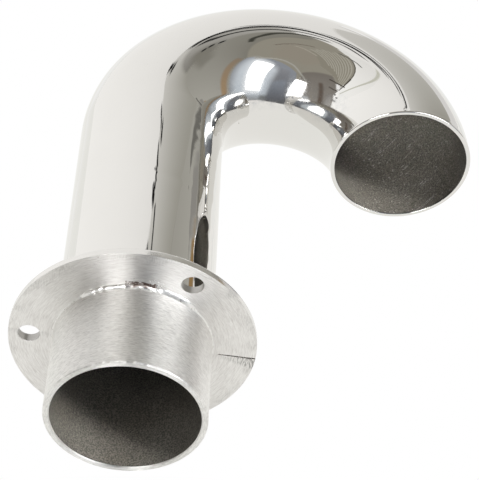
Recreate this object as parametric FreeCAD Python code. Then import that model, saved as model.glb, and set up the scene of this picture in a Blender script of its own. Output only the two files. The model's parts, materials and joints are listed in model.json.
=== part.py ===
import FreeCAD, Part
import math
import os

# Deck cable gland: a swan neck of polished stainless tube, welded through a screw-down deck flange.
# The origin is the centre of the flange's underside, which seats on the deck.
# +Z points up the riser and +X towards the outlet. Sizes are in millimetres and degrees.

# Tube: riser and neck have one outer diameter, and the bent neck is of thinner stock
tube_od = 50.0
riser_wall = 2.0
neck_wall = 1.5
end_break = 0.3  # burr taken off the cut end below deck

# Deck flange: a flat ring, as wide as the weld, the screw holes and the metal round them need
flange_thickness = 3.0
flange_edge_round = 1.2  # buffed upper rim; the lower rim stays sharp
flange_gap = 0.1  # radial play between the ring and the tube before welding
screw_hole = 7.0
screw_count = 3
first_screw_angle = 180.0
weld_to_hole = 1.9
hole_to_rim = 3.0

# Closing joint of the ring, left as a shallow groove across the underside
seam_angle = 2.5
seam_width = 1.2
seam_depth = 0.3

# Riser
spigot_length = 31.0
neck_joint_height = 53.5  # of the butt weld between riser and neck, above the underside

# Neck: a short leg, the bend, and the outlet that looks down
bend_start = 97.0
bend_radius = 44.5
bend_angle = 177.0
outlet_land = 0.8  # straight bit of tube after the bend
lip_round_out = 0.5
lip_round_in = 0.3

# Welds
under_weld_prep = 2.0  # bevel in the ring's lower edge that the fillet fills
under_weld_drop = 1.8  # how far the fillet runs down the spigot
under_weld_bulge = 0.35
neck_weld_root = 1.0
neck_weld_cap = 3.0

tube_r = tube_od / 2
riser_bore_r = tube_r - riser_wall
neck_bore_r = tube_r - neck_wall
flange_bore_r = tube_r + flange_gap
under_weld_toe_r = flange_bore_r + under_weld_prep
screw_circle_r = under_weld_toe_r + weld_to_hole + screw_hole / 2
flange_r = screw_circle_r + screw_hole / 2 + hole_to_rim
root_half = neck_weld_root / 2
cap_half = neck_weld_cap / 2

UP = FreeCAD.Vector(0, 0, 1)
ALONG_Y = FreeCAD.Vector(0, 1, 0)
ORIGIN = FreeCAD.Vector(0, 0, 0)


def at(r, z):
    """A point of a section that is turned about the riser's axis."""
    return FreeCAD.Vector(r, 0, z)


def line(a, b):
    return Part.LineSegment(a, b).toShape()


def turned(edges):
    """The solid that a closed section sweeps out round the riser's axis."""
    return Part.Face(Part.Wire(edges)).revolve(ORIGIN, UP, 360)


def quarter_round(a, corner, b):
    """The quarter circle that rounds off a square corner between two points as far from it as each other."""
    middle = corner + ((a + b) * 0.5 - corner) * (2 - math.sqrt(2))
    return Part.Arc(a, middle, b).toShape()


def polygon(points):
    return [line(a, b) for a, b in zip(points, points[1:] + points[:1])]


def deck_flange():
    """A flat ring: rounded upper rim, weld bevel at the lower edge of its bore, and the screw holes."""
    rim_start = at(flange_r, flange_thickness - flange_edge_round)
    rim_end = at(flange_r - flange_edge_round, flange_thickness)
    corners = [
        rim_end,
        at(flange_bore_r, flange_thickness),
        at(flange_bore_r, under_weld_prep),
        at(under_weld_toe_r, 0),
        at(flange_r, 0),
        rim_start,
    ]
    edges = [line(a, b) for a, b in zip(corners, corners[1:])]
    rim_corner = at(flange_r, flange_thickness)
    ring = turned(edges + [quarter_round(rim_start, rim_corner, rim_end)])
    for i in range(screw_count):
        angle = math.radians(first_screw_angle + i * 360 / screw_count)
        foot = FreeCAD.Vector(math.cos(angle), math.sin(angle), 0) * screw_circle_r
        foot.z = -flange_thickness
        ring = ring.cut(Part.makeCylinder(screw_hole / 2, 3 * flange_thickness, foot, UP))
    return ring.cut(ring_seam())


def ring_seam():
    """The groove that the ring's closing joint leaves, from the weld to the rim."""
    corner = FreeCAD.Vector(tube_r, -seam_width / 2, -seam_depth)
    groove = Part.makeBox(flange_r, seam_width, 2 * seam_depth, corner)
    groove.rotate(ORIGIN, UP, seam_angle)
    return groove


def riser_tube():
    """Straight tube from the spigot's cut end, through the flange, to the butt weld."""
    bottom = -spigot_length
    return turned(
        polygon(
            [
                at(riser_bore_r, bottom + end_break),
                at(riser_bore_r + end_break, bottom),
                at(tube_r - end_break, bottom),
                at(tube_r, bottom + end_break),
                at(tube_r, neck_joint_height - cap_half),
                at(riser_bore_r, neck_joint_height - root_half),
            ]
        )
    )


def neck_bend():
    """The leg above the butt weld and the bend, one piece of tube, with a buffed lip at the outlet."""
    leg = turned(
        polygon(
            [
                at(neck_bore_r, neck_joint_height + root_half),
                at(tube_r, neck_joint_height + cap_half),
                at(tube_r, bend_start),
                at(neck_bore_r, bend_start),
            ]
        )
    )
    start, bend_centre = at(0, bend_start), at(bend_radius, bend_start)
    outer = Part.Wire(Part.makeCircle(tube_r, start, UP))
    inner = Part.Wire(Part.makeCircle(neck_bore_r, start, UP))
    bend = Part.Face([outer, inner]).revolve(bend_centre, ALONG_Y, bend_angle)
    lip = outlet_lip()
    lip.translate(start)
    lip.rotate(bend_centre, ALONG_Y, bend_angle)
    return leg.fuse([bend, lip]).removeSplitter()


def outlet_lip():
    """The last bit of tube at the outlet, straight, with both edges of its mouth rounded."""
    outer_start = at(tube_r, outlet_land - lip_round_out)
    outer_end = at(tube_r - lip_round_out, outlet_land)
    inner_start = at(neck_bore_r + lip_round_in, outlet_land)
    inner_end = at(neck_bore_r, outlet_land - lip_round_in)
    return turned(
        [
            line(at(neck_bore_r, 0), at(tube_r, 0)),
            line(at(tube_r, 0), outer_start),
            quarter_round(outer_start, at(tube_r, outlet_land), outer_end),
            line(outer_end, inner_start),
            quarter_round(inner_start, at(neck_bore_r, outlet_land), inner_end),
            line(inner_end, at(neck_bore_r, 0)),
        ]
    )


def under_flange_weld():
    """The fillet that joins the ring to the spigot: it fills the ring's bevel and bulges a little."""
    toe = at(under_weld_toe_r, 0)
    foot = at(tube_r, -under_weld_drop)
    across = toe - foot
    out = FreeCAD.Vector(across.z, 0, -across.x).normalize()
    crest = (toe + foot) * 0.5 + out * under_weld_bulge
    return turned(
        [
            line(at(tube_r, under_weld_prep), at(flange_bore_r, under_weld_prep)),
            line(at(flange_bore_r, under_weld_prep), toe),
            Part.Arc(toe, crest, foot).toShape(),
            line(foot, at(tube_r, under_weld_prep)),
        ]
    )


def neck_weld():
    """The butt weld of riser and neck, ground and buffed flush with the tube."""
    return turned(
        polygon(
            [
                at(riser_bore_r, neck_joint_height - root_half),
                at(tube_r, neck_joint_height - cap_half),
                at(tube_r, neck_joint_height + cap_half),
                at(neck_bore_r, neck_joint_height + root_half),
            ]
        )
    )


pieces = {
    "deck_flange": deck_flange(),
    "riser_tube": riser_tube(),
    "neck_bend": neck_bend(),
    "under_flange_weld": under_flange_weld(),
    "neck_weld": neck_weld(),
}

os.makedirs("parts", exist_ok=True)
for name, shape in pieces.items():
    shape.exportStep("parts/" + name + ".step")
    print("%s: %.0f mm3, valid %s" % (name, shape.Volume, shape.isValid()))
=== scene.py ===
"""Looks of the deck cable gland: a polished stainless swan neck on a brushed deck flange.

Everything is in metres in the CAD frame: the origin is the centre of the flange's underside,
+Z goes up the riser and +X towards the outlet.
"""

import itertools
import json
import math
import random

import bmesh
import bpy
import numpy as np
from mathutils import Euler, Matrix, Vector, noise


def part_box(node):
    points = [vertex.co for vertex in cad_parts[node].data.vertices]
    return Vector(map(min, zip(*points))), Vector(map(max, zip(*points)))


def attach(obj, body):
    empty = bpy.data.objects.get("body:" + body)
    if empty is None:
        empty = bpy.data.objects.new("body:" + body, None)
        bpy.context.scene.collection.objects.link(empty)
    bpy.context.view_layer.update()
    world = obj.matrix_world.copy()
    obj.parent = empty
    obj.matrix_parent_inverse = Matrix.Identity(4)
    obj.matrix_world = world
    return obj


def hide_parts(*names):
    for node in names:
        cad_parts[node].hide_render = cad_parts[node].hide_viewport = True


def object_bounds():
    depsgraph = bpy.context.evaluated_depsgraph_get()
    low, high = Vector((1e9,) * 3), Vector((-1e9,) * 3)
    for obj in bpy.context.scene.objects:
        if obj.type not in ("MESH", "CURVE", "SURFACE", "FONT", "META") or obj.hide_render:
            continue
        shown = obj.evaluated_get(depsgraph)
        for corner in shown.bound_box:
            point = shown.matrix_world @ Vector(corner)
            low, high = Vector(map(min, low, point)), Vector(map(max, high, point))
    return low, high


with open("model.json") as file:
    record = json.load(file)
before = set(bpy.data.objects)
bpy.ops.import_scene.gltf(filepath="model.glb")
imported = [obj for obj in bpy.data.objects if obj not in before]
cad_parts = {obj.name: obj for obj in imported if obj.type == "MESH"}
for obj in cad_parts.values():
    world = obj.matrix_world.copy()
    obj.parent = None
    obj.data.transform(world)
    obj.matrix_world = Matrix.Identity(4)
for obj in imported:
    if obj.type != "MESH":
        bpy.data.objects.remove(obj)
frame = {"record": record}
cad_low, cad_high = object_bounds()
mm = 0.001

# THE RISER
# A straight length of stainless tube that carries the whole fitting. Above the flange it is polished
# to a mirror. The spigot below, which goes through the deck, keeps its round-and-round brushing, and
# the sawn end still has a ragged burr on one side.

mounts = {mount["name"]: mount["dims"] for mount in frame["record"]["mounts"]}
tube_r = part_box("riser_tube")[1].x
bore_r = mounts["cable_bore"]["r_mm"] * mm
spigot_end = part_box("riser_tube")[0].z
riser_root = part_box("riser_tube")[1].z
riser_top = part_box("neck_weld")[0].z
leg_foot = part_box("neck_weld")[1].z
spigot_break = 0.3 * mm
burr_from, burr_to, burr_fade = math.radians(236), math.radians(302), 0.2
burr_out, burr_below, nick_deep = 0.35 * mm, 0.22 * mm, 0.4 * mm
tube_points = 320


def turns(count):
    """The angles of that many points evenly round a circle, from +X towards +Y."""
    return np.arange(count) * 2 * math.pi / count


def stepped(section, step):
    """The points of a section, with more put in so that no stretch is longer than the step."""
    points = []
    for a, b in zip(section, section[1:]):
        parts = max(1, math.ceil(math.dist(a, b) / step))
        points += [tuple(p + (q - p) * i / parts for p, q in zip(a, b)) for i in range(parts)]
    return points + [section[-1]]


def ring_about_z(r, z, count=tube_points):
    """A level ring of points about the riser's axis, with one radius and height or one for each point."""
    turn = turns(count)
    return np.stack([r * np.cos(turn), r * np.sin(turn), z + 0 * turn], axis=1)


def skin(name, rings, finishes, bands, capped=False, sharp=35):
    """A closed skin through rings of points, with a finish for each band from one ring to the next.

    The last ring joins the first, or if the skin is capped, both are filled."""
    count, points = len(rings), len(rings[0])
    faces, finish_of = [], []
    for i, band in enumerate(bands):
        here, there = i * points, (i + 1) % count * points
        for j in range(points):
            k = (j + 1) % points
            faces.append((here + j, here + k, there + k, there + j))
            finish_of.append(band)
    if capped:
        faces += [tuple(range(points))[::-1], tuple(range((count - 1) * points, count * points))]
        finish_of += [bands[0], bands[-1]]
    mesh = bpy.data.meshes.new(name)
    mesh.from_pydata(np.concatenate(rings).tolist(), [], faces)
    for finish in finishes:
        mesh.materials.append(finish)
    mesh.polygons.foreach_set("material_index", finish_of)
    mesh.polygons.foreach_set("use_smooth", np.ones(len(faces), bool))
    mesh.set_sharp_from_angle(angle=math.radians(sharp))
    mesh.update()
    piece = bpy.data.objects.new(name, mesh)
    bpy.context.scene.collection.objects.link(piece)
    return piece


def waver(points, grain, seed=0.0):
    """Smooth random numbers, about 0 to 1, that change over the grain's length from point to point."""
    shift = Vector((seed, 2.3 * seed, 3.1 * seed))
    return np.array([0.5 + 0.6 * noise.noise(Vector(p) / grain + shift) for p in points])


def ramp(value, start, end):
    """0 before the start and 1 after the end, and a smooth rise between."""
    share = np.clip((value - start) / (end - start), 0, 1)
    return share * share * (3 - 2 * share)


def polish_loss(points, along):
    """How far grinding and buffing left a ring of the tube under its round: a slow waver, quick chatter
    on the side that faces the outlet, and a dip where the butt weld was dressed."""
    below_bend = 1 - ramp(along, 84 * mm, 104 * mm)
    facing_outlet = ramp(points[:, 0] / tube_r, 0.45, 0.9) * below_bend
    weld_middle = (riser_top + leg_foot) / 2
    dip = 0.02 * math.exp(-(((along - weld_middle) / (2.5 * mm)) ** 2))
    slow = 0.02 * waver(points, 17 * mm)
    chatter = 0.08 * facing_outlet * waver(points, 4.5 * mm, 7.0)
    quick = 0.06 * facing_outlet * ramp(along, 60 * mm, 75 * mm) * waver(points, 2.4 * mm, 5.0)
    return (slow + chatter + quick + dip) * mm


def node(tree, kind, inputs=None, **settings):
    """A node with its settings, and its inputs given as values or linked from other nodes' outputs."""
    made = tree.nodes.new(kind)
    for key, value in settings.items():
        setattr(made, key, value)
    for key, value in (inputs or {}).items():
        if isinstance(value, bpy.types.NodeSocket):
            tree.links.new(value, made.inputs[key])
        else:
            made.inputs[key].default_value = value
    return made


def place_on(tree):
    """The place of each point of a surface, in metres in the CAD frame."""
    return node(tree, "ShaderNodeTexCoord").outputs["Object"]


def parts_of(tree, vector):
    """The x, y and z of a vector."""
    return node(tree, "ShaderNodeSeparateXYZ", {0: vector}).outputs


def length_of(tree, vector):
    """The length of a vector."""
    return node(tree, "ShaderNodeVectorMath", {0: vector}, operation="LENGTH").outputs["Value"]


def maths(tree, operation, *values):
    """The output of a maths node that works on the given values or sockets."""
    return node(tree, "ShaderNodeMath", dict(enumerate(values)), operation=operation).outputs[0]


def product(tree, first, *others):
    """The first value or socket times each of the others."""
    for other in others:
        first = maths(tree, "MULTIPLY", first, other)
    return first


def ranged(tree, value, start, end, low, high):
    """A value taken from one range to another, and held at its ends."""
    return node(tree, "ShaderNodeMapRange", {0: value, 1: start, 2: end, 3: low, 4: high}).outputs[0]


def cloud(tree, place, scale, detail, **others):
    """Cloudy noise over a surface, mostly from 0.3 to 0.7. The others are more inputs of its node."""
    inputs = {"Vector": place, "Scale": scale, "Detail": detail, **others}
    return node(tree, "ShaderNodeTexNoise", inputs).outputs["Fac"]


def blend(tree, share, first, last):
    """A colour between two, each given as three numbers or a socket. Its sockets are numbers 6 and 7."""
    colours = [c if isinstance(c, bpy.types.NodeSocket) else (*c, 1) for c in (first, last)]
    inputs = {0: share, 6: colours[0], 7: colours[1]}
    return node(tree, "ShaderNodeMix", inputs, data_type="RGBA").outputs[2]


def bumped(tree, height, strength, distance):
    """The normals of a surface with fine relief, which is about that distance deep."""
    inputs = {"Height": height, "Strength": strength, "Distance": distance}
    return node(tree, "ShaderNodeBump", inputs).outputs[0]


def group(name, inputs, outputs):
    """An empty node group with number inputs and their first values, and outputs of the kinds given.

    Returns its tree, the sockets that its inputs come from and the sockets that its outputs go to."""
    tree = bpy.data.node_groups.new(name, "ShaderNodeTree")
    for label, value in inputs.items():
        socket = tree.interface.new_socket(label, in_out="INPUT", socket_type="NodeSocketFloat")
        socket.default_value = value
    for label, kind in outputs.items():
        tree.interface.new_socket(label, in_out="OUTPUT", socket_type="NodeSocket" + kind)
    return tree, tree.nodes.new("NodeGroupInput").outputs, tree.nodes.new("NodeGroupOutput").inputs


def placed(tree, of, **values):
    """That node group put into a material, with its own values. Underscores stand for spaces."""
    made = tree.nodes.new("ShaderNodeGroup")
    made.node_tree = of
    for key, value in values.items():
        made.inputs[key.replace("_", " ")].default_value = value
    return made.outputs


def metal(name):
    """A material with only its shader, metal all over. Returns the material, its tree and the shader."""
    material = bpy.data.materials.new(name)
    material.use_nodes = True
    shader = material.node_tree.nodes["Principled BSDF"]
    shader.inputs["Metallic"].default_value = 1
    return material, material.node_tree, shader


def feed(tree, shader, **sockets):
    """Links sockets to the shader's inputs. Underscores stand for spaces."""
    for key, socket in sockets.items():
        tree.links.new(socket, shader.inputs[key.replace("_", " ")])


# Brushing that goes round the riser's axis, the same on the spigot and the flange: fine lines, a few
# deep scratches, and soft patches where the belt bit more or less. What changes across the lines is
# the radius on the flange and the height on the spigot.
brushing, given, out = group(
    "round_brushing",
    {"Lines per mm": 2.5, "Line length mm": 6, "Patch size mm": 6},
    {"Lines": "Float", "Scratches": "Float", "Patches": "Float"},
)
mm_per_metre = 1000.0
place = place_on(brushing)
x, y, z = parts_of(brushing, place)
square = maths(brushing, "ADD", product(brushing, x, x), product(brushing, y, y))
from_axis = maths(brushing, "SQRT", square)
across = product(brushing, maths(brushing, "SUBTRACT", from_axis, z), mm_per_metre, given["Lines per mm"])
drawn_out = maths(brushing, "DIVIDE", mm_per_metre, given["Line length mm"])
inputs = {0: product(brushing, x, drawn_out), 1: product(brushing, y, drawn_out), 2: across}
round_place = node(brushing, "ShaderNodeCombineXYZ", inputs).outputs[0]
brushing.links.new(cloud(brushing, round_place, 1.0, 4.0, Roughness=0.65), out["Lines"])
inputs = {0: round_place, 1: (31.0, 77.0, 4.0)}
elsewhere = node(brushing, "ShaderNodeVectorMath", inputs, operation="ADD").outputs[0]
scratches = ranged(brushing, cloud(brushing, elsewhere, 0.6, 1.0), 0.66, 0.74, 0.0, 1.0)
brushing.links.new(scratches, out["Scratches"])
patch_scale = maths(brushing, "DIVIDE", mm_per_metre, given["Patch size mm"])
brushing.links.new(cloud(brushing, place, patch_scale, 2.0), out["Patches"])


def brush_round(tree, shader, lines):
    """Gives a shader the relief and gloss of that brushing, drawn out round the riser's axis.

    Returns how bright each line is."""
    bright = maths(tree, "SUBTRACT", ranged(tree, lines["Lines"], 0.3, 0.7, 0.0, 1.0),
                   product(tree, lines["Scratches"], 0.5))
    shader.inputs["Anisotropic"].default_value = 1
    shader.inputs["Anisotropic Rotation"].default_value = 0.25
    round_axis = node(tree, "ShaderNodeTangent", direction_type="RADIAL", axis="Z").outputs[0]
    feed(tree, shader, Normal=bumped(tree, bright, 1.0, 0.04 * mm), Tangent=round_axis,
         Roughness=ranged(tree, lines["Patches"], 0.3, 0.7, 0.34, 0.4))
    return bright


# Mirror polish: almost no haze, with faint wisps and hairlines from the buffing wheel. In the throat
# of the bend, where the wheel could not reach well, it is cloudier. There its colour is also darkened
# in patches towards a blue grey, a painted reflection.
bend_start, bend_radius = 97.0 * mm, 44.5 * mm
polished, tree, shader = metal("mirror_polish")
place = place_on(tree)
x, y, z = parts_of(tree, place)
wisps = cloud(tree, place, 60.0, 4.0, Distortion=0.6)
inputs = {"Vector": place, "Scale": (4000.0, 4000.0, 250.0)}
hairlines = cloud(tree, node(tree, "ShaderNodeMapping", inputs).outputs[0], 1.0, 2.0)
inputs = {0: maths(tree, "SUBTRACT", x, bend_radius), 2: maths(tree, "SUBTRACT", z, bend_start)}
from_bend_axis = length_of(tree, node(tree, "ShaderNodeCombineXYZ", inputs).outputs[0])
in_throat = product(
    tree,
    ranged(tree, from_bend_axis, 24 * mm, 29 * mm, 1.0, 0.0),
    ranged(tree, y, -4 * mm, -8 * mm, 0.0, 1.0),
    ranged(tree, z, 104 * mm, 112 * mm, 0.0, 1.0),
)
mottle = cloud(tree, place, 420.0, 4.0, Roughness=0.7)
haze = product(tree, in_throat, ranged(tree, mottle, 0.35, 0.65, 0.04, 0.15))
haze = maths(tree, "MAXIMUM", haze, ranged(tree, wisps, 0.35, 0.75, 0.01, 0.05))
tone = blend(tree, wisps, (0.81, 0.80, 0.78), (0.78, 0.77, 0.75))
# Painted reflection: in the throat's patches the colour goes towards a dark blue grey.
throat_painted_reflection = product(tree, in_throat, ranged(tree, mottle, 0.4, 0.65, 0.0, 0.3))
tone = blend(tree, throat_painted_reflection, tone, (0.40, 0.43, 0.47))
feed(tree, shader, Base_Color=tone, Roughness=haze, Normal=bumped(tree, hairlines, 0.02, 0.05 * mm))

# Brushed spigot: the lines go round it, so what it mirrors is drawn out up and down.
spigot_brushed, tree, shader = metal("brushed_spigot")
lines = placed(tree, brushing, Lines_per_mm=2.8, Line_length_mm=1.8, Patch_size_mm=7)
tone = blend(tree, brush_round(tree, shader, lines), (0.68, 0.67, 0.65), (1.0, 0.99, 0.97))
feed(tree, shader, Base_Color=tone)

# Inner wall: tube as it came from the mill, dull and grainy, with scuffs from the bending mandrel.
# Its tones are set nearly black: painted shade of the inside of the tube.
inner_wall_painted_dark, tree, shader = metal("dull_inner_wall_painted_shade")
place = place_on(tree)
grit = cloud(tree, place, 2000.0, 1.0)
stains = cloud(tree, place, 55.0, 4.0)
inputs = {"Vector": place, "Rotation": (0.0, -0.52, -0.75), "Scale": (8 * mm, 0.5 * mm, 0.5 * mm)}
scuffs = cloud(tree, node(tree, "ShaderNodeMapping", inputs, vector_type="TEXTURE").outputs[0], 1.0, 1.0)
scuffed = product(tree, ranged(tree, scuffs, 0.62, 0.72, 0.0, 0.6),
                  ranged(tree, parts_of(tree, place)["Z"], 60 * mm, 80 * mm, 0.0, 1.0))
# Painted shade: both stain tones are nearly black, darker than the dull steel.
tone = blend(tree, stains, (0.038, 0.032, 0.024), (0.08, 0.076, 0.066))
tone = blend(tree, scuffed, tone, (0.22, 0.21, 0.20))
speck = ranged(tree, grit, 0.35, 0.7, 0.45, 1.85)
tone = node(tree, "ShaderNodeVectorMath", {0: tone, "Scale": speck}, operation="SCALE").outputs[0]
feed(tree, shader, Base_Color=tone, Normal=bumped(tree, grit, 0.4, 0.1 * mm))
shader.inputs["Metallic"].default_value = 0.1
shader.inputs["Roughness"].default_value = 0.6

turn = turns(tube_points)
circle = ring_about_z(tube_r, 0)
in_burr = ramp(turn, burr_from, burr_from + burr_fade) * (1 - ramp(turn, burr_to - burr_fade, burr_to))
ragged = in_burr * np.clip(2.2 * waver(circle, 0.9 * mm, 3.0) - 0.9, 0, 1)
nicked = in_burr * waver(circle, 1.6 * mm, 9.0)
end_edge = spigot_end + spigot_break
outside = [ring_about_z(tube_r + burr_out * ragged, end_edge + nick_deep * nicked)]
outside += [ring_about_z(tube_r, z) for z in (spigot_end + 0.9 * mm, spigot_end + 2 * mm, -10 * mm, 0)]
brushed_bands = len(outside) - 1
for r, z in stepped([(tube_r, 0), (tube_r, riser_top)], 1.0 * mm)[1:]:
    ring = ring_about_z(r, z)
    outside.append(ring_about_z(r - polish_loss(ring, z), z))
inside = [ring_about_z(r, z) for r, z in stepped([(bore_r, riser_root), (bore_r, end_edge)], 4 * mm)]
end_face = [
    ring_about_z(bore_r + spigot_break, spigot_end),
    ring_about_z(tube_r - spigot_break + burr_below * ragged, spigot_end),
]
rings = outside + inside + end_face
bands = [1] * brushed_bands + [0] * (len(outside) - 1 - brushed_bands) + [2] * len(inside) + [1, 1, 1]
riser = skin("riser", rings, [polished, spigot_brushed, inner_wall_painted_dark], bands)
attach(riser, "root")
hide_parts("riser_tube")

# THE NECK
# A bend of 177 degrees in thinner tube, with a short straight leg, butt-welded on top of the riser.
# It is polished outside with the riser, and its mouth looks down so that water stays out.
# The mouth's edge is buffed round, and the inside is left dull.

bend_angle = math.radians(177)
outlet_land = 0.8 * mm
neck_bore_r = tube_r - 1.5 * mm
lip_out, lip_in = 0.5 * mm, 0.3 * mm
leg_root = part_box("neck_bend")[0].z
bend_end = bend_start + bend_radius * bend_angle
mouth = bend_end + outlet_land


def ring_about_neck(r, along):
    """A ring of points square to the neck, at a length along its middle line measured from the flange."""
    angle = min(max(along - bend_start, 0), bend_end - bend_start) / bend_radius
    straight = min(along, bend_start) - bend_start + max(along - bend_end, 0)
    inward = np.array([math.cos(angle), 0, -math.sin(angle)])
    forward = np.array([math.sin(angle), 0, math.cos(angle)])
    middle = np.array([bend_radius, 0, bend_start]) - bend_radius * inward + straight * forward
    turn = turns(tube_points)
    return middle + np.outer(r * np.cos(turn), inward) + np.outer(r * np.sin(turn), [0, 1, 0])


# A thin dark line just inside the mouth, broken here and there: painted shade where the inside meets
# the rounded edge.
mouth_shade_line, tree, shader = metal("painted_mouth_shade")
painted_shade_depth = ranged(tree, cloud(tree, place_on(tree), 90.0, 3.0), 0.42, 0.56, 0.0, 1.0)
feed(tree, shader, Base_Color=blend(tree, painted_shade_depth, (0.09, 0.085, 0.075), (0.008, 0.007, 0.006)))
shader.inputs["Metallic"].default_value = 0
shader.inputs["Roughness"].default_value = 0.5


def mouth_ripple(points, along):
    """The small dents that trimming the mouth left just behind its edge."""
    return 0.05 * mm * waver(points, 2.5 * mm, 4.0) * math.exp(-(((along - mouth) / (3 * mm)) ** 2))


outside = stepped([(tube_r, leg_foot), (tube_r, bend_start)], 1.2 * mm)[:-1]
outside += stepped([(tube_r, bend_start), (tube_r, mouth - lip_out)], 0.8 * mm)[:-1]
rings = []
for r, s in outside:
    ring = ring_about_neck(r, s)
    rings.append(ring_about_neck(r - polish_loss(ring, s) - mouth_ripple(ring, s), s))
lip = [
    (tube_r - lip_out * (1 - math.cos(a)), mouth - lip_out * (1 - math.sin(a)))
    for a in np.linspace(0, math.pi / 2, 7)
]
lip += [
    (neck_bore_r + lip_in * (1 - math.sin(a)), mouth - lip_in * (1 - math.cos(a)))
    for a in np.linspace(0, math.pi / 2, 5)
]
shade_line_end = mouth - lip_in - 0.4 * mm
along_bore = [(neck_bore_r, s) for s in (shade_line_end, bend_start, leg_root)]
inside = stepped(along_bore, 4 * mm)
rings += [ring_about_neck(r, s) for r, s in lip + inside]
# Painted shade: the last bands round the inner edge of the mouth are darkened.
shade_line_bands = 3  # bands round the inner edge of the mouth
bands = [0] * (len(outside) + len(lip) - shade_line_bands) + [2] * shade_line_bands + [1] * len(inside)
neck = skin("neck", rings, [polished, inner_wall_painted_dark, mouth_shade_line], bands)
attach(neck, "root")
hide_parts("neck_bend")

# THE WELD OF RISER AND NECK
# A butt weld all round, ground flush and polished with the tubes, so that only a faint waver
# in the reflections gives it away. Its root shows inside as a narrow ring.

rings = []
for r, z in stepped([(tube_r, riser_top), (tube_r, leg_foot)], 0.5 * mm):
    rings.append(ring_about_z(r - polish_loss(ring_about_z(r, z), z), z))
bands = [0] * (len(rings) - 1) + [1, 1, 1]
rings += [ring_about_z(neck_bore_r, leg_root), ring_about_z(bore_r, riser_root)]
neck_weld = skin("neck_joint", rings, [polished, inner_wall_painted_dark], bands)
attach(neck_weld, "root")
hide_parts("neck_weld")

# THE DECK FLANGE
# A flat ring of stainless plate that the riser goes through. Three screw holes hold it to the deck.
# Its upper side and rim are buffed, its underside is brushed round and round, and the joint that
# closed the ring shows as a groove across the underside.

flange_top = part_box("deck_flange")[1].z
flange_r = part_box("deck_flange")[1].y
flange_bore_r, weld_toe_r = tube_r + 0.1 * mm, tube_r + 2.1 * mm
weld_prep = 2.0 * mm
rim_round, rim_break = 1.2 * mm, 0.05 * mm
screws = mounts["deck_screws"]
screw_circle_r, screw_r = screws["pcd_mm"] / 2 * mm, screws["hole_r_mm"] * mm
hole_break = 0.08 * mm
seam_turn, seam_deep = math.radians(2.5), 0.3 * mm
seam_half_at_weld, seam_half_at_rim = 0.16 * mm, 0.35 * mm

# Heat stain of the weld: broken brown blots over a short way of the bead and of the metal beside it.
# They fade towards both ends, and to both sides of the radius given.
stain_brown = (0.20, 0.15, 0.13)
stain_middle = 1.2 * mm
heat_stain, given, out = group("heat_stain", {"Radius mm": 26.6}, {"Stain": "Float"})
place = place_on(heat_stain)
x, y, _ = parts_of(heat_stain, place)
radius = product(heat_stain, length_of(heat_stain, place), mm_per_metre)
along = maths(heat_stain, "ABSOLUTE", maths(heat_stain, "SUBTRACT", x, stain_middle))
aside = maths(heat_stain, "ABSOLUTE", maths(heat_stain, "SUBTRACT", radius, given["Radius mm"]))
far_off = maths(heat_stain, "MAXIMUM", ranged(heat_stain, along, 2 * mm, 6.5 * mm, 0.0, 1.0),
                ranged(heat_stain, aside, 0.3, 1.2, 0.0, 1.0))
blots = cloud(heat_stain, place, 650.0, 3.0)
stain = maths(heat_stain, "SUBTRACT", blots, ranged(heat_stain, far_off, 0.0, 1.0, 0.22, 0.72))
stain = product(heat_stain, ranged(heat_stain, stain, 0.0, 0.06, 0.0, 1.0),
                ranged(heat_stain, y, -20 * mm, -24 * mm, 0.0, 1.0))
heat_stain.links.new(stain, out["Stain"])

# Brushed flange: round lines as on the spigot, with darker sanding marks that lean across them near
# the rim and beside the seam.
flange_brushed, tree, shader = metal("brushed_flange")
lines = placed(tree, brushing, Lines_per_mm=3.2, Line_length_mm=3, Patch_size_mm=9)
place = place_on(tree)
x, y, _ = parts_of(tree, place)
near_rim = product(tree, ranged(tree, length_of(tree, place), 34.5 * mm, 37.5 * mm, 0.0, 1.0),
                   ranged(tree, lines["Patches"], 0.48, 0.6, 0.0, 0.28))
past_seam = maths(tree, "SUBTRACT", y, product(tree, x, math.tan(seam_turn)))
past_sanding = maths(tree, "SUBTRACT", past_seam, ranged(tree, x, 30 * mm, 38 * mm, 2.2 * mm, 5 * mm))
beside_seam = product(
    tree,
    ranged(tree, past_seam, -0.2 * mm, 0.0, 0.0, 1.0),
    ranged(tree, past_sanding, -1 * mm, 0.5 * mm, 1.0, 0.0),
    ranged(tree, x, 27.5 * mm, 37 * mm, 0.25, 1.0),
)
inputs = {"Vector": place, "Rotation": (0.0, 0.0, 0.3), "Scale": (2400.0, 450.0, 300.0)}
leaning = cloud(tree, node(tree, "ShaderNodeMapping", inputs).outputs[0], 1.0, 2.0)
strokes = ranged(tree, leaning, 0.46, 0.56, 0.1, 1.0)
sanded = product(tree, strokes, maths(tree, "MAXIMUM", beside_seam, near_rim), 0.75)
tone = blend(tree, brush_round(tree, shader, lines), (0.74, 0.72, 0.70), (0.97, 0.96, 0.94))
tone = blend(tree, sanded, tone, (0.24, 0.235, 0.225))
heated = placed(tree, heat_stain, Radius_mm=26.6)["Stain"]
feed(tree, shader, Base_Color=blend(tree, heated, tone, stain_brown))

# Open joint: the dirty bottom of a gap too narrow to brush.
open_joint, tree, shader = metal("open_joint")
dirt = cloud(tree, place_on(tree), 900.0, 3.0)
feed(tree, shader, Base_Color=blend(tree, dirt, (0.03, 0.026, 0.022), (0.12, 0.11, 0.10)))
shader.inputs["Metallic"].default_value = 0.5
shader.inputs["Roughness"].default_value = 0.7

# Buffed edges of the flange, not quite a mirror.
buffed, tree, shader = metal("buffed_edge")
wisps = cloud(tree, place_on(tree), 200.0, 3.0)
feed(tree, shader, Roughness=ranged(tree, wisps, 0.3, 0.7, 0.1, 0.2),
     Base_Color=blend(tree, wisps, (0.82, 0.81, 0.79), (0.76, 0.75, 0.73)))

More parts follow.
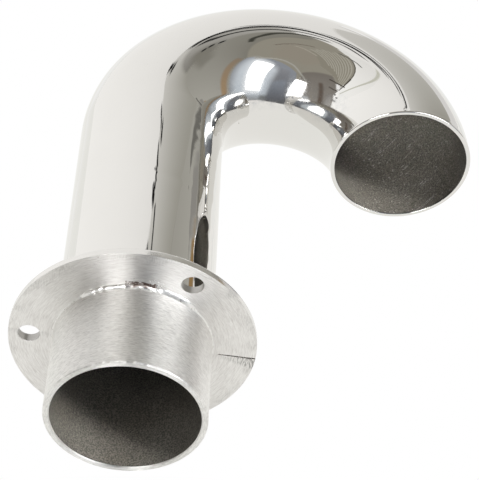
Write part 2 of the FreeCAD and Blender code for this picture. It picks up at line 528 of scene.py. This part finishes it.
# Drilled walls of the screw holes, with fine rings that the drill left.
drilled, tree, shader = metal("drilled_wall")
inputs = {"Vector": place_on(tree), "Scale": (200.0, 200.0, 5000.0)}
drill_rings = cloud(tree, node(tree, "ShaderNodeMapping", inputs).outputs[0], 1.0, 2.0)
feed(tree, shader, Base_Color=blend(tree, drill_rings, (0.30, 0.29, 0.28), (0.62, 0.61, 0.59)))
shader.inputs["Roughness"].default_value = 0.3

rim = [
    (flange_r - rim_round * (1 - math.cos(a)), flange_top - rim_round * (1 - math.sin(a)))
    for a in np.linspace(0, math.pi / 2, 9)
]
underside = [(weld_toe_r, 0), (flange_r - rim_break, 0), (flange_r, rim_break)]
upper_side = [
    (flange_r - rim_round - 0.3 * mm, flange_top),
    (flange_bore_r, flange_top),
    (flange_bore_r, weld_prep),
]
section = underside + rim + upper_side
bands = [0, 0] + [1] * (len(rim) + 2) + [0, 0]
finishes = [flange_brushed, buffed, open_joint, drilled]
flange = skin("flange", [ring_about_z(r, z) for r, z in section], finishes, bands)


def cut(piece, cutter):
    """Takes the cutter out of the piece, and the cutter away."""
    bite = piece.modifiers.new("cut", "BOOLEAN")
    bite.operation, bite.object, bite.solver = "DIFFERENCE", cutter, "EXACT"
    seen = bpy.context.evaluated_depsgraph_get()
    mesh = bpy.data.meshes.new_from_object(piece.evaluated_get(seen))
    piece.modifiers.clear()
    piece.data = mesh
    bpy.data.objects.remove(cutter)


# The cutters carry the flange's finishes, so that what they cut shows the right one.
hole_points = 72
overshoot = 1.0 * mm
flare = screw_r + hole_break + overshoot
drill = [
    (flare, -overshoot),
    (screw_r, hole_break),
    (screw_r, flange_top - hole_break),
    (flare, flange_top + overshoot),
]
for screw in range(screws["count"]):
    rings = [ring_about_z(r, z, hole_points) for r, z in drill]
    hole = skin("drill", rings, finishes, [0, 3, 0], capped=True)
    turned_to = math.pi + screw * 2 * math.pi / screws["count"]
    to_hole = (screw_circle_r * math.cos(turned_to), screw_circle_r * math.sin(turned_to), 0)
    hole.data.transform(Matrix.Translation(to_hole))
    cut(flange, hole)

# The groove of the seam narrows from its mouth to its floor, and widens from the weld to the rim.
rings = []
for z, share in ((-0.1 * mm, 1.1), (seam_deep, 0.5)):
    at_weld, at_rim = seam_half_at_weld * share, seam_half_at_rim * share
    corners = [(tube_r, -at_weld), (flange_r + mm, -at_rim), (flange_r + mm, at_rim), (tube_r, at_weld)]
    rings.append(np.array([(x, y, z) for x, y in corners]))
seam = skin("seam_cutter", rings, finishes, [2], capped=True)
seam.data.transform(Matrix.Rotation(seam_turn, 4, "Z"))
cut(flange, seam)
flange.data.set_sharp_from_angle(angle=math.radians(35))
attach(flange, "root")
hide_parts("deck_flange")

# THE WELD UNDER THE FLANGE
# A fillet of weld in the corner of flange and spigot. Most of it was ground back to a thin line,
# flush with the flange. Between two of the screw holes it is left lumpy, with a patch of brown heat
# stain and some spatter, and it runs out in a short smooth stretch.

lumpy_from, smooth_from, thin_from = (math.radians(a) for a in (226, 283, 322))

weld_metal, tree, shader = metal("weld_bead")
lumps = cloud(tree, place_on(tree), 900.0, 3.0)
stain = placed(tree, heat_stain, Radius_mm=26.5)["Stain"]
stain = product(tree, stain, ranged(tree, lumps, 0.4, 0.6, 1.0, 0.4))
tone = blend(tree, lumps, (0.70, 0.69, 0.67), (0.92, 0.91, 0.89))
rough = maths(tree, "MAXIMUM", ranged(tree, lumps, 0.3, 0.7, 0.22, 0.4), product(tree, stain, 0.6))
feed(tree, shader, Base_Color=blend(tree, stain, tone, stain_brown), Roughness=rough,
     Normal=bumped(tree, lumps, 0.25, 0.1 * mm))

bead_points = 480
turn = turns(bead_points)
lumpy = ramp(turn, lumpy_from, lumpy_from + 0.1) * (1 - ramp(turn, smooth_from - 0.1, smooth_from))
smooth = ramp(turn, smooth_from - 0.05, smooth_from + 0.1) * (1 - ramp(turn, thin_from - 0.3, thin_from))
# How wide, deep and full the bead is where it was ground back, and what its lumpy and its smooth
# stretch add to that.
wide = (0.45 + 0.75 * lumpy + 1.15 * smooth) * mm
deep = (0.5 + 0.35 * lumpy + 0.55 * smooth) * mm
fullness = 0.75 + 0.7 * lumpy + 0.45 * smooth
circle = ring_about_z(tube_r, 0, bead_points)
uneven = 0.5 * (0.15 + lumpy)
wide *= 0.85 + waver(circle, 1.8 * mm, 5.0) * uneven
deep *= 0.85 + waver(circle, 1.5 * mm, 8.0) * uneven
wide = np.minimum(wide, 2.0 * mm)
rings = [ring_about_z(r, weld_prep, bead_points) for r in (flange_bore_r, tube_r)]
for angle in np.linspace(math.pi / 2, 0, 11):
    out_r = wide * math.cos(angle) ** (2 / fullness)
    down = deep * math.sin(angle) ** (2 / fullness)
    ring = ring_about_z(tube_r + out_r, -down, bead_points)
    swell = 0.14 * mm * lumpy * (waver(ring, 0.9 * mm, 2.0) - 0.2) * math.sin(2 * angle)
    rings.append(ring_about_z(tube_r + out_r + swell, -down - swell, bead_points))
rings.append(ring_about_z(weld_toe_r, 0, bead_points))
bands = [1] * (len(rings) - 2) + [0, 1]
bead = skin("under_weld", rings, [flange_brushed, weld_metal], bands, sharp=60)


def weld_on(piece, extra):
    """Makes the extra shell part of the piece's mesh."""
    both = bmesh.new()
    both.from_mesh(piece.data)
    both.from_mesh(extra.data)
    both.to_mesh(piece.data)
    both.free()
    bpy.data.objects.remove(extra)


random.seed(4)
spatter_count, spatter_turn, spatter_spread = 30, 276, 7
drop_points = 12
drop_angles = (1.4, 1.1, 0.7, 0.3, -0.3)  # from its crown to where it sinks into the plate
for drop in range(spatter_count):
    size = random.uniform(0.12, 0.3) * mm
    out_r = weld_toe_r + random.uniform(-0.8, 1.6) * mm
    turned_to = math.radians(random.gauss(spatter_turn, spatter_spread))
    rings = [
        ring_about_z(size * math.cos(a), -0.8 * size * math.sin(a), drop_points) for a in drop_angles
    ]
    spatter = skin("spatter", rings, [flange_brushed, weld_metal], [1, 1, 1, 1], capped=True, sharp=60)
    spatter.data.transform(Matrix.Rotation(turned_to, 4, "Z") @ Matrix.Translation((out_r, 0, 0)))
    weld_on(bead, spatter)
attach(bead, "root")
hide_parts("under_flange_weld")

# THE STUDIO
# A pale floor just under the spigot's end, white all round, and the camera under the part, as in the
# photograph. From below, the floor is see-through.

floor_z = cad_low.z - 0.1 * mm
floor_half = 6
corners = [(x * floor_half, y * floor_half, floor_z) for x, y in ((-1, -1), (1, -1), (1, 1), (-1, 1))]
mesh = bpy.data.meshes.new("floor")
mesh.from_pydata(corners, [], [(0, 1, 2, 3)])
floor = bpy.data.objects.new("floor", mesh)
bpy.context.scene.collection.objects.link(floor)
material = bpy.data.materials.new("pale_floor")
material.use_nodes = True
tree = material.node_tree
shader = tree.nodes["Principled BSDF"]
shader.inputs["Base Color"].default_value = (0.86, 0.86, 0.86, 1)
shader.inputs["Roughness"].default_value = 0.9
shader.inputs["Specular IOR Level"].default_value = 0.1
from_below = node(tree, "ShaderNodeNewGeometry").outputs["Backfacing"]
clear = node(tree, "ShaderNodeBsdfTransparent").outputs[0]
mixed = node(tree, "ShaderNodeMixShader", {0: from_below, 1: shader.outputs[0], 2: clear})
tree.links.new(mixed.outputs[0], tree.nodes["Material Output"].inputs["Surface"])
mesh.materials.append(material)
floor.visible_glossy = floor.visible_diffuse = False
floor.visible_shadow = floor.visible_transmission = False

# Cards far round the part, which only its metal sees. The part lies on its back, so a direction is an
# azimuth, clockwise from the way its riser points, and a height over the ground, both in degrees. Each
# card hangs a little nearer than the one before, so it covers what it overlaps.
lean = math.radians(6.72)
card_up = np.array([0, -math.cos(lean), -math.sin(lean)])
card_north = np.cross(card_up, [1, 0, 0])
cards_middle = np.array([30, 0, 80]) * mm
card_far, near_far, card_step = 4.0, 1.0, 0.005
card_points = 17
strip_step = 1.5
strip_side_fade, strip_end_fade = 0.35, 0.04
card_number = itertools.count(1)


def toward(azimuth, height):
    """The unit direction at that azimuth and height, in degrees."""
    a, h = math.radians(azimuth), math.radians(height)
    level = math.sin(a) * np.array([1, 0, 0]) + math.cos(a) * card_north
    return math.cos(h) * level + math.sin(h) * card_up


def apart(a, b):
    """The angle between two directions, in degrees."""
    return math.degrees(math.acos(max(-1, min(1, a @ b))))


# The cover of a card fades towards its four edges, by a share of its width and of its length.
soft_edges, given, out = group(
    "soft_edges", {"Side fade": 0.1, "End fade": 0.1}, {"Cover": "Float", "Along": "Float"}
)
uv = parts_of(soft_edges, node(soft_edges, "ShaderNodeUVMap").outputs[0])
cover = 1.0
for value, fade in ((uv[0], "Side fade"), (uv[1], "End fade")):
    for edge in (value, maths(soft_edges, "SUBTRACT", 1.0, value)):
        inputs = {0: edge, 2: given[fade]}
        faded = node(soft_edges, "ShaderNodeMapRange", inputs, interpolation_type="SMOOTHSTEP")
        cover = product(soft_edges, cover, faded.outputs[0])
soft_edges.links.new(cover, out["Cover"])
soft_edges.links.new(uv[1], out["Along"])


def hang(name, rows, first, last, side_fade, end_fade, far=card_far):
    """A glowing card through rows of directions, about that many metres off.

    It goes from its first to its last tone along the rows."""
    far -= card_step * far * next(card_number)
    wide, count = len(rows[0]), len(rows)
    points = [tuple(cards_middle + far * p / np.linalg.norm(p)) for row in rows for p in row]
    corners = [i * wide + j for i in range(count - 1) for j in range(wide - 1)]
    quads = [(corner, corner + 1, corner + wide + 1, corner + wide) for corner in corners]
    mesh = bpy.data.meshes.new("card_" + name)
    mesh.from_pydata(points, [], quads)
    layer = mesh.uv_layers.new(name="UVMap")
    for loop in mesh.loops:
        i, j = divmod(loop.vertex_index, wide)
        layer.data[loop.index].uv = (j / (wide - 1), i / (count - 1))
    card = bpy.data.objects.new("card_" + name, mesh)
    bpy.context.scene.collection.objects.link(card)
    material = bpy.data.materials.new("card_" + name)
    material.use_nodes = True
    tree = material.node_tree
    tree.nodes.remove(tree.nodes["Principled BSDF"])
    edges = placed(tree, soft_edges, Side_fade=side_fade, End_fade=end_fade)
    glow = node(tree, "ShaderNodeEmission", {0: blend(tree, edges["Along"], first, last)}).outputs[0]
    clear = node(tree, "ShaderNodeBsdfTransparent").outputs[0]
    mixed = node(tree, "ShaderNodeMixShader", {0: edges["Cover"], 1: clear, 2: glow})
    tree.links.new(mixed.outputs[0], tree.nodes["Material Output"].inputs["Surface"])
    mesh.materials.append(material)
    card.visible_camera = card.visible_diffuse = False
    card.visible_shadow = card.visible_transmission = False


def card(name, softness, first, last, *corners):
    """A four-cornered card. Its first tone is along the side from the first corner to the second."""
    a, b, c, d = (toward(*corner) for corner in corners)
    share = np.linspace(0, 1, card_points)
    rows = [[(1 - v) * ((1 - u) * a + u * b) + v * ((1 - u) * d + u * c) for u in share] for v in share]
    across = (apart(a, b) + apart(d, c)) / 2
    along = (apart(a, d) + apart(b, c)) / 2
    hang(name, rows, first, last, softness / across, softness / along)


def strip(name, wide, tone, *points, far=card_far):
    """A narrow card of one tone, with soft sides, along a line of directions. Its width is in degrees."""
    line = [toward(*point) for point in points]
    smooth = []
    for a, b in zip(line, line[1:]):
        parts = max(1, round(apart(a, b) / strip_step))
        smooth += [a + (b - a) * i / parts for i in range(parts)]
    smooth.append(line[-1])
    half = math.radians(wide) / 2
    rows = []
    for i, p in enumerate(smooth):
        ahead = smooth[min(i + 1, len(smooth) - 1)] - smooth[max(i - 1, 0)]
        aside = np.cross(p, ahead)
        aside /= np.linalg.norm(aside)
        rows.append([p - half * aside, p, p + half * aside])
    hang(name, rows, tone, tone, strip_side_fade, strip_end_fade, far)


def arc(steepness, middle, start, end, step=5):
    """Points along a level straight edge, overhead, that is highest at its middle azimuth."""
    azimuths = np.arange(start, end + step / 2, step)
    heights = np.degrees(np.arctan(steepness * np.cos(np.radians(azimuths - middle))))
    return list(zip(azimuths, heights))


# Overhead and the four sides.
card("overhead", 2, (0.33, 0.31, 0.26), (0.33, 0.31, 0.26), (45, 36), (135, 36), (225, 36), (315, 36))
card("overhead_warm", 8, (0.33, 0.30, 0.25), (0.33, 0.30, 0.25),
     (10, 66), (120, 68), (220, 66), (280, 66))
card("east", 3, (0.46, 0.45, 0.41), (0.24, 0.23, 0.20), (0, -3.5), (96, -3.5), (96, 58), (0, 58))
card("south", 3, (0.34, 0.35, 0.36), (0.30, 0.32, 0.36), (84, -5), (198, -5), (198, 58), (86, 62))
card("south_dark", 6, (0.10, 0.10, 0.10), (0.30, 0.31, 0.34), (138, -8), (190, -8), (186, 60), (148, 64))
card("west", 5, (0.36, 0.34, 0.31), (0.20, 0.18, 0.16), (194, -10), (272, -10), (272, 58), (206, 60))

# The ground. Under the part it is darker: its painted shadow.
card("ground", 1.5, (0.97, 0.94, 0.92), (0.90, 0.92, 0.88), (45, -5), (135, 3), (225, -2), (315, -12))
card("ground_east", 8, (0.42, 0.41, 0.37), (0.60, 0.59, 0.55),
     (52, -24), (34, -66), (130, -66), (125, -22))
card("ground_near", 3, (0.75, 0.74, 0.73), (0.75, 0.74, 0.73),
     (14, -3.5), (62, -4.5), (62, -18), (12, -18))
card("ground_south", 10, (0.62, 0.61, 0.58), (0.74, 0.73, 0.70),
     (196, -24), (190, -66), (250, -66), (250, -24))
# Painted shadow: the ground under the part, darker where the part's shadow falls.
card("ground_painted_shadow", 8, (0.30, 0.29, 0.26), (0.55, 0.54, 0.50),
     (325, -56), (40, -56), (110, -76), (270, -76))

# Pale surfaces ahead of the riser, and the dark corner and warm edges to their right.
card("east_pale", 0.6, (0.72, 0.71, 0.68), (0.37, 0.36, 0.32), (2, 40.5), (6, -5), (40, -6), (30, 33))
card("north_foot", 1, (0.9, 0.89, 0.87), (0.9, 0.89, 0.87), (0, 13), (9, 12.5), (14.6, -2.5), (0, -6))
card("north", 0.8, (1.18, 1.17, 1.15), (0.90, 0.89, 0.87),
     (264, -14), (264, 31), (5.5, 50.5), (11.5, -14))
card("north_top", 1, (1.1, 1.1, 1.08), (0.88, 0.87, 0.85), (274, 20), (274, 39), (352, 53.5), (356, 44))
card("north_ground", 10, (1.0, 1.0, 1.0), (0.90, 0.91, 0.89),
     (322, -16), (322, -50), (42, -50), (40, -16))
card("corner", 3, (0.50, 0.49, 0.46), (0.22, 0.21, 0.19), (4, 37), (4, 52), (34, 49), (30, 31))
card("corner_deep", 6, (0.23, 0.22, 0.19), (0.26, 0.25, 0.22), (16, 37), (18, 50), (50, 50), (46, 32))
card("warm_upright", 4, (0.46, 0.31, 0.17), (0.27, 0.22, 0.17), (69, -6), (83, -6), (87, 60), (72, 57))
card("warm_low", 2, (0.30, 0.19, 0.08), (0.30, 0.19, 0.08), (42.5, -4), (42, 4), (47, 4), (47, -4))

# Two bright lights, with the glow and the dark round them.
card("halo_one", 14, (0.62, 0.68, 0.74), (0.72, 0.77, 0.83), (82, -2), (156, 4), (170, 60), (84, 68))
card("south_low", 6, (0.22, 0.23, 0.23), (0.12, 0.12, 0.12), (134, 1), (134, 14), (192, 13), (192, 2))
card("south_gap", 8, (0.11, 0.11, 0.12), (0.30, 0.33, 0.38), (142, 0), (186, 0), (184, 46), (156, 40))
card("key_glow", 8, (0.9, 0.93, 0.97), (0.9, 0.93, 0.97), (95, 67), (156, 68), (140, 9), (103, 9))
card("key_one", 3, (5.6, 5.6, 5.6), (5.6, 5.6, 5.6), (104, 62), (151, 64), (137, 18), (112, 17))
card("west_low", 5, (0.75, 0.76, 0.77), (0.45, 0.46, 0.47), (194, 2), (228, 2), (224, 24), (196, 24))
card("west_end", 5, (0.60, 0.58, 0.55), (0.30, 0.28, 0.26), (247, 0), (266, 0), (264, 32), (252, 32))
card("key_two", 3, (5.5, 5.5, 5.5), (5.5, 5.5, 5.5), (196, 48), (219, 43), (211, 19), (182, 15))
card("west_upright", 4, (0.14, 0.11, 0.09), (0.14, 0.11, 0.09),
     (237, 12), (236, 48), (248, 48), (250, 12))

# A ribbed patch overhead, and the dark edge and the crease below it.
card("ribbed", 1, (0.30, 0.28, 0.23), (0.30, 0.28, 0.23), (276, 42), (343, 58), (340, 76), (262, 70))
for rib in range(10):
    steepness = math.tan(math.radians(58 + 1.75 * rib))
    strip("rib_%d" % rib, 1.3, (0.46, 0.44, 0.38), *arc(steepness, 330, 268 + 2 * rib, 346))
strip("north_top_edge", 1.0, (0.12, 0.11, 0.09), *arc(1.483, 330, 275, 345))
strip("north_top_corner", 1.8, (0.07, 0.06, 0.05), *arc(1.483, 330, 272, 302))
strip("north_crease", 1.6, (0.62, 0.62, 0.54), *arc(1.072, 325, 272, 357))
strip("top_mark", 1.8, (0.12, 0.12, 0.11), (340, 52), (343, 53.5), (344, 56), (346, 59))
card("top_pale", 1, (0.9, 0.9, 0.88), (0.85, 0.85, 0.83), (346, 50), (348, 56), (354, 54.5), (357, 50))

# Thin black edges. They hang nearer than the rest, so that the bend mirrors them in their places both
# on its left and on its right.
for edge, wide, points in (
    ("spot", 2.1, [(7.2, 34.1), (8, 34.1), (8.9, 33.8)]),
    ("upright", 1.0, [(4.2, 33.2), (5.4, 33.6), (6.8, 34.1)]),
    ("end", 0.9, [(5.1, 35.2), (6.4, 36.1), (7.9, 37)]),
    ("foot", 1.4, [(5.3, 35.5), (6.2, 36.6), (6.7, 37.2), (6.8, 37.8)]),
    ("line", 2.2, [(6.7, 37.8), (6.3, 38.2), (5.6, 38.2), (4.9, 38.4)]),
    ("line_end", 1.3, [(5.2, 38.3), (4.6, 38.6), (4.2, 38.4), (3.7, 37.8)]),
    ("ring", 1.8, [(9, 38.1), (10, 39.5), (10.5, 40.6), (10.7, 41.3)]),
    ("ring_top", 2.7, [(10.7, 40.9), (10.6, 41.7), (9.6, 42.6), (8.3, 43.4), (6.5, 43.4)]),
    ("ring_end", 1.7, [(6.6, 43.5), (5.8, 42.4), (4.6, 41.8), (2.8, 42.6), (1.8, 42.5)]),
):
    strip("near_" + edge, wide, (0.01, 0.01, 0.01), *points, far=near_far)

# The dark line and the dashes beyond them, and the shade low down on their right.
strip("outer_line", 2.8, (0.06, 0.06, 0.05), (34, 62.5), (24, 59), (15, 56.5), (10.5, 53.6),
      (6.4, 51.2), (3.3, 49.6), (0.2, 48.2))
strip("dash_1", 2.6, (0.03, 0.03, 0.03), (20.5, 48.2), (23.5, 48.8))
strip("dash_2", 2.4, (0.03, 0.03, 0.03), (20.5, 45.3), (23.5, 45.9))
strip("dash_3", 2.4, (0.03, 0.03, 0.03), (21.5, 43.3), (24, 43.9))
strip("low_shade", 5, (0.30, 0.29, 0.27), (41, 7), (41.2, 3), (41.5, -1))
strip("low_blot", 1.8, (0.17, 0.165, 0.15), (37.5, 11), (37.5, 8), (38.5, 2), (39, -2))

# Thin pale and dark lines overhead and on the left.
strip("overhead_pale", 3, (0.44, 0.43, 0.39), (95, 63), (115, 70), (135, 74), (160, 75), (190, 70),
      (205, 58), (217, 43))
strip("overhead_line", 1.6, (0.2, 0.17, 0.14), (350, 67), (2, 70.5), (15, 73), (35, 74))
strip("overhead_light", 1.8, (0.43, 0.4, 0.34), (312, 76), (330, 77.3), (350, 76.3), (5, 75))
card("west_glint", 2, (1.0, 1.0, 1.0), (1.0, 1.0, 1.0), (267, 39), (270, 47), (277, 46), (276, 39))
strip("west_line_1", 2.4, (0.08, 0.07, 0.06), (260, 53), (272, 48), (284, 43))
strip("west_line_2", 2.0, (0.08, 0.07, 0.06), (256, 42), (264, 39), (271, 37))
strip("west_blot_1", 3, (0.07, 0.07, 0.07), (265.5, 31), (268, 32.5))
strip("west_blot_2", 3, (0.07, 0.07, 0.07), (268, 28), (271.5, 27.5))
strip("west_blot_3", 3, (0.07, 0.07, 0.07), (263, 24), (266, 23), (269.5, 22))

# Lamps that light the dull insides and the floor. The metal doesn't mirror them.
for name, place, aim, size, spread, watts in (
    ("front_lamp", (0.95, -1.1, -0.6), (-0.07, 0, -0.13), 0.8, 20, 4.9),
    ("low_lamp", (0.3, -0.1, -1.5), (0.14, 0, 0.1), 0.2, 9, 0.38),
    ("mouth_lamp", (0.9, -0.8, -1.1), (0.14, 0, 0.09), 0.2, 8, 0.14),
    ("left_lamp", (-0.9, -1.1, -0.8), (0.03, 0, 0.06), 0.6, 180, 10),
    ("side_lamp", (1.6, -0.6, 1.4), (0.03, 0, 0.06), 1.2, 180, 5),
):
    light = bpy.data.lights.new(name, "AREA")
    light.size = size
    light.spread = math.radians(spread)
    light.energy = watts
    lamp = bpy.data.objects.new(name, light)
    lamp.location = place
    lamp.rotation_mode = "QUATERNION"
    lamp.rotation_quaternion = (Vector(aim) - Vector(place)).to_track_quat("-Z", "Y")
    lamp.visible_camera = lamp.visible_glossy = False
    bpy.context.scene.collection.objects.link(lamp)

world = bpy.data.worlds.new("white_studio")
world.use_nodes = True
world.node_tree.nodes["Background"].inputs["Color"].default_value = (1, 1, 1, 1)
world.node_tree.nodes["Background"].inputs["Strength"].default_value = 1
bpy.context.scene.world = world

camera_place = Vector((-3.089, -403.729, -374.671)) * mm
camera_turn = Euler([math.radians(angle) for angle in (136.476, -1.5, -6.598)])
lens = bpy.data.cameras.new("camera")
lens.sensor_fit = "HORIZONTAL"
lens.sensor_width = 36
lens.lens = 131.7
lens.clip_start = 0.01
lens.clip_end = 50
camera = bpy.data.objects.new("camera", lens)
camera.matrix_world = Matrix.LocRotScale(camera_place, camera_turn, None)
bpy.context.scene.collection.objects.link(camera)
bpy.context.scene.camera = camera
bpy.context.scene.view_settings.view_transform = "Standard"
